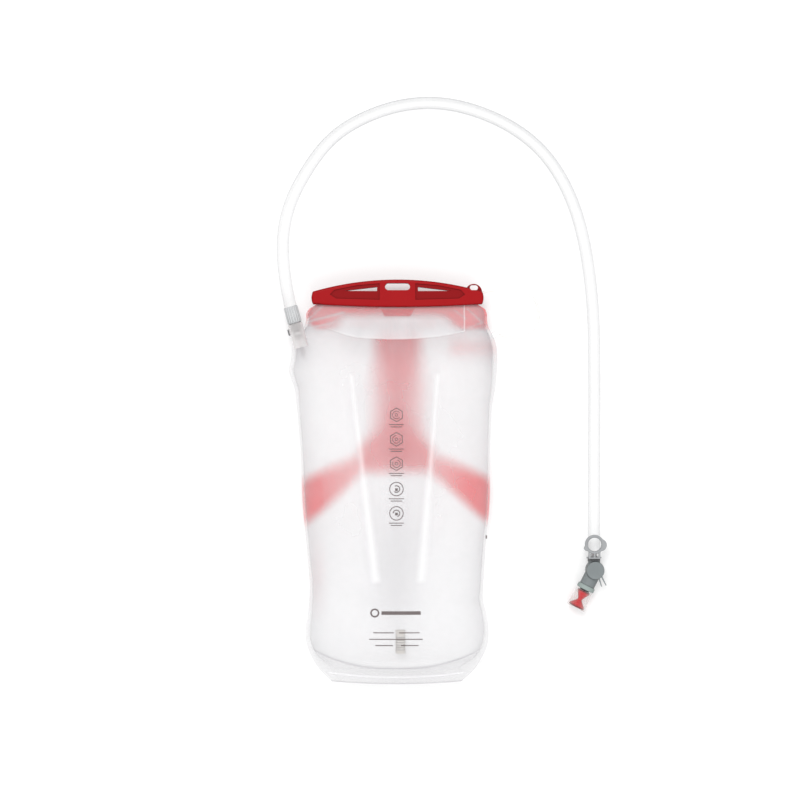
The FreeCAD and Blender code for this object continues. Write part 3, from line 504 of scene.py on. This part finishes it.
def bag_grid(rows, cols, low=FILM_BOTTOM, high=FILM_TOP):
    """x and y of a sheet over the whole outline, margins included."""
    y = np.linspace(low, high, rows)[:, None]
    left, right = smooth(LEFT_WELD, y), smooth(RIGHT_WELD, y)
    fill_left, fill_right = fill_edges(y)
    fill = np.sin(np.linspace(-math.pi / 2, math.pi / 2, cols))[None, :]
    middle = (fill_left + fill_right) / 2 + (fill_right - fill_left) / 2 * fill
    part = np.linspace(0, 1, 4)[None, :-1]
    left_margin = left + (fill_left - left) * part
    right_margin = right + (fill_right - right) * part[:, ::-1]
    x = np.concatenate([left_margin, middle, right_margin], axis=1)
    y = np.broadcast_to(y, x.shape).copy()
    hang = FIN_SAG * (1 - (x / 64.0) ** 2) * step(-172, -195, y)
    return x, y, y - np.maximum(hang, 0)


def edge_distance(x, y):
    """Millimetres in from the side of the filled part."""
    left, right = fill_edges(y)
    return (1 - np.abs(across(x, y))) * (right - left) / 2


def weld_margin(x, y):
    """1 on the clear margin outside the filled part."""
    return step(0.985, 1.0, np.abs(across(x, y)))


def fin_line(x, low, corner):
    """A line along the bottom that rises towards the corners."""
    return low + corner * np.abs(x / 62.0) ** 2.6


def blend_to(base, value, mask):
    return base + (value - base) * np.clip(mask, 0, 1)


# ---------------------------------------------------------------- front and back film

PORT_AT = (-95.1, 139.5)
PORT_LEAN = math.radians(15.3)
PORT_HALF = 6.2             # half the width cut out of the films for the port
PORT_INNER = -7.0           # how far along its axis the cut starts and ends
PORT_OUTER = 18.0


def off_port(x, y):
    """0 inside the port's socket, where the films are cut away, and 1 outside it."""
    right, up = x - PORT_AT[0], y - PORT_AT[1]
    along = up * math.cos(PORT_LEAN) - right * math.sin(PORT_LEAN)
    away = np.abs(right * math.cos(PORT_LEAN) + up * math.sin(PORT_LEAN))
    return np.where((away < PORT_HALF) & (along > PORT_INNER) & (along < PORT_OUTER), 0.0, 1.0)


def paint_front(obj, x, y):
    """Where the front film is milky, clear, greyer or creased; its greyer sides, shoulders, bottom corners,
    middle panel and stem are painted shade.
    """
    # painted shade: the film greys towards its sides, shoulders and bottom corners, over the middle panel
    # and over the yoke's stem
    side = np.exp(-edge_distance(x, y) / 9.0)
    painted_shoulder_shade = step(96, 138, y) * np.exp(-edge_distance(x, y) / 26.0)
    corner = step(-120, -172, y) * np.exp(-edge_distance(x, y) / 14.0)
    panel = bump(x, 2.0, 27.0) * step(75, -75, y) * step(-150, -112, y)
    stem = bump(x, YOKE_MIDDLE, 25.0) * step(0, 34, y) * step(152, 138, y)
    patchy = grain(x * 0.8, y * 0.5, 42.0, 13)
    cover = 0.30 + 0.06 * side + 0.14 * painted_shoulder_shade + 0.09 * corner + 0.10 * panel + 0.05 * stem + 0.02 * patchy
    tone = 0.83 - 0.22 * side - 0.46 * painted_shoulder_shade - 0.16 * corner - 0.40 * panel - 0.34 * stem + 0.07 * patchy
    tone = tone - 0.14 * np.clip(yoke_tint(x, y), 0, 1) ** 2

    weld = weld_mask(x, y, 1.7 + 2.0 * step(WELD_TOP, WELD_BOTTOM, y), 6.0)
    cover = blend_to(cover, 0.46, weld)
    tone = blend_to(tone, 1.0, weld)

    fin = step(-181.0, -184.0, y - fin_line(x, 0.0, 9.0))
    clear_part = np.maximum(weld_margin(x, y), fin)
    # painted shade: the clear fin is darker towards its middle
    middle = bump(x, 5.0, 50.0)
    cover = blend_to(cover, 0.20 + 0.03 * middle, clear_part)
    tone = blend_to(tone, 0.46 - 0.34 * middle, clear_part)
    # painted lines along the bottom: shade along the body's lower edge, a highlight across the fin and shade
    # along the fin's lower edge
    painted_lower_edge_shade = bump(y, fin_line(x, -181.5, 9.0), 1.1) * step(88, 70, np.abs(x))
    light = bump(y, fin_line(x, -189.0, 2.0), 1.2) * step(74, 60, np.abs(x))
    foot = bump(y, -195.0, 1.0)
    for line, line_cover, line_tone in ((painted_lower_edge_shade, 0.55, 0.20), (light, 0.80, 1.0), (foot, 0.62, 0.10)):
        cover = blend_to(cover, line_cover, line)
        tone = blend_to(tone, line_tone, line)
    paint(obj, "cover", cover * off_port(x, y))
    paint(obj, "tone", tone)


def paint_back(obj, x, y):
    """The back film is evenly milky, with painted shade greying its sides, and clear outside the weld."""
    side = np.exp(-edge_distance(x, y) / 9.0)
    clear_part = np.maximum(weld_margin(x, y), step(-181.0, -184.0, y))
    cover = blend_to(0.42 + 0.1 * side, 0.16, clear_part)
    paint(obj, "cover", cover * off_port(x, y))
    paint(obj, "tone", blend_to(0.90 - 0.25 * side, 0.5, clear_part))


def make_films():
    x, y, drawn_y = bag_grid(330, 170)
    front = sheet_from("front_film", x, drawn_y, front_z(x, y), FROSTED)
    paint_front(front, x, y)
    trim(front, "cover")
    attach(front, "bag")
    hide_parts("front_panel")

    back = sheet_from("back_film", x, drawn_y, back_z(x, y), BACK_FILM, flip=True)
    paint_back(back, x, y)
    trim(back, "cover")
    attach(back, "bag")
    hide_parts("back_panel")


# ---------------------------------------------------------------- yoke, neck, lip and webs

LAYER_GAP = 0.5 * MM        # between a film and the tint inside it
YOKE_GAP = 0.6 * MM
YOKE_BOTTOM = -135
YOKE_TOP = 168
JOIN = 5.0                  # how tightly the stem and the arms of the Y run into each other


def yoke_tint(x, y):
    """How strongly the back is tinted: an upside-down Y, soft where it fades into the film."""
    lean = 2.0 * step(60, 34, y) * step(48, 36, np.abs(x))
    out = np.abs(x - YOKE_MIDDLE + lean)
    half_stem = smooth([(4, 36), (24, 36), (33, 34), (40, 29), (50, 22.5), (66, 19.5), (92, 20), (118, 20.5),
                        (139, 21), (170, 23)], y)
    soft_stem = smooth([(4, 7), (33, 11), (50, 15), (66, 17), (100, 17), (130, 11), (170, 9)], y)
    stem = step(half_stem + soft_stem, half_stem - soft_stem, out) * step(0.0, 20.0, y) * step(156, 143, y)
    top = smooth([(0, 30), (36, 26), (60, 15.5), (90, 2.5), (100, -1)], out)
    bottom = smooth([(0, 12), (36, 5.5), (60, -15), (90, -40), (100, -48)], out)
    soft = smooth([(0, 10), (36, 10), (62, 11), (88, 9)], out)
    arms = step(top + soft, top - soft, y) * step(bottom - soft, bottom + soft, y) * step(28, 40, out)
    stem_depth = smooth([(0, 0.60), (30, 0.64), (70, 0.60), (100, 0.63), (139, 0.79)], y)
    arm_depth = smooth([(0, 0.5), (36, 0.50), (55, 0.68), (72, 1.0), (86, 1.06), (94, 0.8)], out)
    arm_depth = arm_depth * (1 - 0.12 * step(0, -40, x))
    # painted reflection: a faint red glow at the right shoulder and along the lower left
    painted_red_reflection = 0.22 * bump(y, 132, 9) * step(46, 60, x) + 0.08 * bump(x, -78, 8) * bump(y, -92, 34)
    return ((stem * stem_depth) ** JOIN + (arms * arm_depth) ** JOIN) ** (1 / JOIN) + painted_red_reflection


def make_yoke():
    x, y, drawn_y = bag_grid(220, 130, YOKE_BOTTOM, YOKE_TOP)
    yoke = sheet_from("yoke_film", x, drawn_y, back_z(x, y) + YOKE_GAP, YOKE_RED)
    paint(yoke, "tint", yoke_tint(x, y) * (1 - 0.6 * weld_margin(x, y)) * step(164, 150, y))
    trim(yoke, "tint")
    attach(yoke, "bag")
    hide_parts("back_yoke")


def segment(x, y, start, end, width):
    """1 along the straight line from start to end, falling off over width."""
    right, up = end[0] - start[0], end[1] - start[1]
    part = ((x - start[0]) * right + (y - start[1]) * up) / (right ** 2 + up ** 2)
    part = np.clip(part, 0, 1)
    away = np.hypot(x - start[0] - part * right, y - start[1] - part * up)
    return np.exp(-(away / width) ** 2)


# creases of the neck's folded ends, drawn only in paint, with painted highlights along the ridges: start,
# end, width
RIDGE_HIGHLIGHTS = [
    ((-86.5, 159.0), (-72.5, 172.5), 1.0),
    ((-86.5, 157.0), (-52.0, 166.0), 1.2),
    ((-80.0, 152.0), (-62.0, 156.0), 0.9),
    ((69.0, 170.0), (84.0, 156.5), 1.0),
    ((57.0, 168.0), (68.0, 160.0), 0.9),
    ((84.0, 156.0), (72.0, 152.0), 0.9),
]
# painted shade along the hollows of the folds: start, end, width
HOLLOW_SHADE = [
    ((-84.0, 164.0), (-78.0, 172.0), 2.2),
    ((-84.0, 154.0), (-58.0, 161.0), 1.8),
    ((-70.0, 170.0), (-40.0, 168.0), 2.2),
    ((78.0, 170.0), (85.0, 163.0), 2.4),
    ((70.0, 155.0), (80.0, 152.5), 2.2),
    ((52.0, 163.0), (66.0, 151.0), 2.4),
]
NECK_BOTTOM = 140
NECK_TOP = 181.5


def creases(x, y, lines):
    total = np.zeros(np.broadcast(x, y).shape)
    for start, end, width in lines:
        total = np.maximum(total, segment(x, y, start, end, width))
    return total


def neck_tint(x, y, seed):
    """The neck is redder under the bar and at its folded ends, and fades out downwards."""
    under_bar = step(160, 171, y)
    ends = step(48, 66, np.abs(x - YOKE_MIDDLE)) * (0.32 + 0.34 * step(0, 40, x))
    low = 152.0 + 5.0 * step(-78, -86, x)
    fade = step(low - 5, low + 4, y)
    streak = 0.12 * grain(x * 0.5, y * 1.4, 9.0, seed)
    tint = (0.32 + 0.38 * under_bar + ends + streak) * fade
    # painted highlight lightens the tint along the ridges and painted shade deepens it along the hollows
    tint = tint * (1 - 0.9 * creases(x, y, RIDGE_HIGHLIGHTS)) + 0.34 * creases(x, y, HOLLOW_SHADE) * fade
    return np.clip(tint * (1 - 0.5 * weld_margin(x, y)), 0, 1.3)


def make_neck():
    x, y, drawn_y = bag_grid(110, 200, NECK_BOTTOM, NECK_TOP)
    bands = (
        ("neck_tint_front", "neck_band_front", front_z(x, y) - LAYER_GAP, 12),
        ("neck_tint_back", "neck_band_back", back_z(x, y) + LAYER_GAP, 10),
    )
    for name, node, z, seed in bands:
        band = sheet_from(name, x, drawn_y, z, NECK_RED)
        paint(band, "tint", neck_tint(x, y, seed))
        trim(band, "tint")
        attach(band, "bag")
        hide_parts(node)


LIP_LEFT = -82.0
LIP_RIGHT = 67.0
LIP_TOP = 176.0
LIP_EDGE = [            # (x, y) along its lower edge
    (-82, 160), (-77, 156), (-60, 147.5), (-45, 142.6), (-20, 139.8), (3, 139.2), (35, 141.5), (55, 144.6),
    (67, 147.5),
]
TAB_TOP = 169.5
TAB_HEIGHT = 7.2
TAB_HALF = 16.5


def make_lip():
    """The folded lip of clear film that hangs from the bar over the neck."""
    u, v = np.meshgrid(np.linspace(0, 1, 150), np.linspace(0, 1, 70))
    x = LIP_LEFT + (LIP_RIGHT - LIP_LEFT) * u
    y = LIP_TOP + (smooth(LIP_EDGE, x) - LIP_TOP) * v
    wave = grain(x * 0.6, y * 0.7, 14.0, 21) * 0.8 * v
    z = front_z(x, y) + (0.5 + 1.3 * v + wave * 0.6) * MM
    lip = sheet_from("lip_flap", x, y, z, LIP_FILM, flip=True)
    left_end = step(-72, -44, x + (160 - y) * 0.5)
    right_end = step(6, -16, x - 52 - (163 - y) * 1.05)
    white = step(168, 157, y) * left_end * right_end
    hem = np.maximum(step(0.965, 0.99, v) * step(0.0, 0.25, u), step(0.988, 0.996, u))
    cover = 0.08 + 0.62 * white + 0.06 * grain(x, y * 0.6, 16.0, 23) * white
    cover = blend_to(cover, 0.50, hem)
    tone = blend_to(blend_to(0.62, 0.70, white), 1.0, hem)
    paint(lip, "cover", np.clip(cover, 0, 1))
    paint(lip, "tone", tone)
    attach(lip, "bag")
    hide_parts("front_lip")


def make_tab():
    """The red pull tab at the middle of the lip, narrower towards its lower edge."""
    sideways, part = np.meshgrid(np.linspace(-TAB_HALF, TAB_HALF, 44), np.linspace(0, 1, 16))
    x = 1 + sideways * (1 - 0.24 * part)
    y = TAB_TOP - TAB_HEIGHT * part
    tab = sheet_from("lip_tab_film", x, y, front_z(x, y) + 2.6 * MM, TAB_RED, flip=True)
    paint(tab, "tint", 0.55 + 0.45 * part)
    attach(tab, "bag")
    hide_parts("lip_tab")


WEB_LOW_GAP = 0.8 * MM      # from the back film
WEB_HIGH_GAP = 0.4 * MM     # from the front film


def make_webs():
    """The two walls that stand between the films under the weld lines and keep the bag flat."""
    for side, ends in (("left", LEFT_LINE), ("right", RIGHT_LINE)):
        part, y = np.meshgrid(np.linspace(0, 1, 16), np.linspace(WELD_BOTTOM, WELD_TOP, 120))
        x = weld_line_x(ends, y)
        low, high = back_z(x, y) + WEB_LOW_GAP, front_z(x, y) - WEB_HIGH_GAP
        bow = np.sin(part * math.pi) * grain(y * 0.3, 40 * part, 20.0, 31) * 2.0
        web = sheet_from("web_" + side, x + bow, y, low + (high - low) * part, WEB_FILM)
        paint(web, "cover", np.full(x.shape, 0.05))
        paint(web, "tone", np.full(x.shape, 0.9))
        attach(web, "bag")
        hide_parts("baffle_web_" + side)


# ---------------------------------------------------------------- printed marks on the front film


INK_GAP = 0.55 * MM
SYMBOL_ROWS = (66.0, 42.4, 18.9, -5.6, -29.1)
HEXAGONS = 3                # the upper symbols are in hexagons, the lower ones in rings
NAME_Y = -125.9
SMALL_PRINT = [         # x, y, width
    (-12.5, -145.6, 20), (12.5, -145.6, 20), (-0.5, -152.2, 52), (-12.0, -158.6, 17), (13.0, -158.6, 17),
]


class Marks:
    """Flat printed shapes that lie just above the front film."""

    def __init__(self):
        self.verts = []
        self.faces = []

    def strip(self, inner, outer, closed=False):
        """A band of ink between two rows of points."""
        start = len(self.verts)
        for pair in zip(inner, outer):
            self.verts.extend(pair)
        count = len(inner)
        for k in range(count if closed else count - 1):
            a, b = start + 2 * k, start + 2 * ((k + 1) % count)
            self.faces.append((a, a + 1, b + 1, b))

    def bar(self, x, y, wide, high):
        xs = np.linspace(x - wide / 2, x + wide / 2, max(2, int(wide / 1.5) + 1))
        self.strip([(a, y - high / 2) for a in xs], [(a, y + high / 2) for a in xs])

    def ring(self, x, y, radius, line, sides=48, turn=0.0, part=1.0):
        angles = [turn + 2 * math.pi * part * k / sides for k in range(sides + (part < 1))]
        rows = []
        for r in (radius - line, radius):
            rows.append([(x + r * math.cos(a), y + r * math.sin(a)) for a in angles])
        self.strip(*rows, closed=part == 1.0)

    def build(self, name, material):
        x, y = (np.array([v[k] for v in self.verts]) for k in (0, 1))
        verts = np.stack([x * MM + BAG_X, y * MM, front_z(x, y) + INK_GAP], axis=-1)
        return object_from(name, verts, self.faces, material)


def make_marks():
    marks = Marks()
    for k, y in enumerate(SYMBOL_ROWS):
        if k < HEXAGONS:
            marks.ring(0, y, 7.0, 0.85, sides=6, turn=math.pi / 6)
            marks.ring(0, y, 4.0, 0.60, sides=40, turn=0.6 + k, part=0.8)
            marks.ring(0, y, 1.6, 0.6)
        else:
            marks.ring(0, y, 6.9, 0.8)
            marks.ring(0, y, 3.6, 0.9, sides=40, turn=1.0 + k, part=0.7)
            marks.bar(0, y - 0.6, 2.6, 2.6)
        marks.bar(0, y - 9.4, 14.5, 0.75)
        marks.bar(0, y - 11.6, 11.0, 0.75)
    marks.bar(4.5, NAME_Y, 38.0, 3.4)
    marks.ring(-21.0, NAME_Y, 4.4, 1.5)
    for x, y, wide in SMALL_PRINT:
        marks.bar(x, y, wide, 0.9)
    marks.bar(88.0, -53.8, 1.4, 3.2)
    printed = marks.build("front_marks", INK)
    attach(printed, "bag")


# ---------------------------------------------------------------- hose, tether and dip tube

HOSE_RADIUS = 6.0 * MM
HOSE_ROUTE = [
    (-101.2, 161.7, 22.0), (-111.7, 200.3, 22.0), (-111.7, 264.0, 10.5), (-80.6, 321.6, 6.2),
    (-49.5, 351.6, 6.2), (2.5, 372.6, 6.2), (54.5, 373.8, 6.2), (110.0, 354.0, 6.2),
    (151.5, 320.5, 6.2), (180.5, 263.9, 6.2), (194.2, 181.6, 6.2), (195.2, 96.0, 6.2),
    (194.4, 12.0, 9.75), (194.4, -74.0, 9.75),
]
TETHER_RADIUS = 1.1 * MM
TETHER_ROUTE = [
    (84.5, 186.0, 22.0), (106.0, 190.5, 18.0), (136.5, 183.5, 10.0), (142.0, 160.5, 6.5),
    (129.5, 142.0, 10.0), (113.0, 141.0, 18.0), (99.8, 144.0, 24.4),
]


def placed(point):
    return Vector((point[0] * MM + BAG_X, point[1] * MM, point[2] * MM))


def cord_curve(name, points, radius, material):
    """A smooth cord whose route's points are the control points of its spline."""
    data = bpy.data.curves.new(name, "CURVE")
    data.dimensions = "3D"
    data.bevel_depth = radius
    data.bevel_resolution = 8
    data.resolution_u = 16
    spline = data.splines.new("NURBS")
    spline.points.add(len(points) - 1)
    for made, point in zip(spline.points, points):
        made.co = (*placed(point), 1)
    spline.order_u = 3
    spline.use_endpoint_u = True
    data.materials.append(material)
    obj = bpy.data.objects.new(name, data)
    bpy.context.scene.collection.objects.link(obj)
    return obj


def make_hose():
    hose = cord_curve("hose_tube", HOSE_ROUTE, HOSE_RADIUS, HOSE_CLEAR)
    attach(hose, "drink_hose")
    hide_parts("hose")


def make_tether():
    tether = cord_curve("tether_cord", TETHER_ROUTE, TETHER_RADIUS, TETHER_CLEAR)
    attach(tether, "bag")
    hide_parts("tether")


DIP_RADIUS = 3.6 * MM
DIP_ROUTE = [
    (-92.9, 131.6, 22.0), (-87.2, 110.6, 22.0), (-84.0, 98.0, 22.0), (-74.0, 55.0, 22.0),
    (-68.0, -5.0, 22.0), (-62.0, -62.0, 22.0), (-46.0, -104.0, 22.0), (-11.0, -120.0, 22.0),
    (3.9, -138.0, 22.0), (3.9, -149.0, 22.0),
]


def make_dip_tube():
    """The tube inside the bag, drawn as its upper half so that the milky films stay clear around it."""
    route = [placed(point) for point in DIP_ROUTE]
    steps = np.linspace(0, len(route) - 1, 140)
    tracks = [[(k, point[axis]) for k, point in enumerate(route)] for axis in range(3)]
    line = np.stack([smooth(track, steps) for track in tracks], axis=-1)
    along = np.gradient(line, axis=0)
    along /= np.linalg.norm(along, axis=1)[:, None]
    sideways = np.cross(along, (0, 0, 1))
    sideways /= np.linalg.norm(sideways, axis=1)[:, None]
    upward = np.cross(sideways, along)
    turn = np.linspace(0, math.pi, 13)[None, :, None]
    skin = line[:, None] + DIP_RADIUS * (np.cos(turn) * sideways[:, None] + np.sin(turn) * upward[:, None])
    tube = object_from("dip_tube_skin", skin.reshape(-1, 3), grid_faces(*skin.shape[:2]), DIP_CLEAR)
    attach(tube, "bag")
    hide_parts("dip_tube")


# ---------------------------------------------------------------- carried-over nodes

NODE_LOOKS = {
    "slide_bar": BAR_RED, "mouth_rail_front": RAIL_RED, "mouth_rail_back": RAIL_RED,
    "tether_anchor": CLEAR_PART, "port_socket": PORT_CLEAR,
    "release_button": DARK, "pickup_strainer": STRAINER_TAN, "check_poppet": WHITE, "poppet_spring": SPRING,
    "hose_plug": WHITE, "plug_seal": BLACK_SEAL, "plug_grip": GRIP_GREY, "valve_spigot": WHITE,
    "swivel_seal": BLACK_SEAL, "hose_ferrule": DARK, "clip_ring": RING_GREY, "elbow_body": GREY,
    "shutoff_rotor": WHITE, "rotor_seal": BLACK_SEAL, "shutoff_lever": GREY, "bite_band": BAND,
    "bite_sheath": SILICONE, "bite_core": CORE_RED,
}


def dress_nodes():
    for node, material in NODE_LOOKS.items():
        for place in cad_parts[node].material_slots:
            place.material = material


make_camera()
make_stage()
make_hose()
make_tether()
make_dip_tube()
make_films()
make_yoke()
make_neck()
make_lip()
make_tab()
make_webs()
make_marks()
dress_nodes()
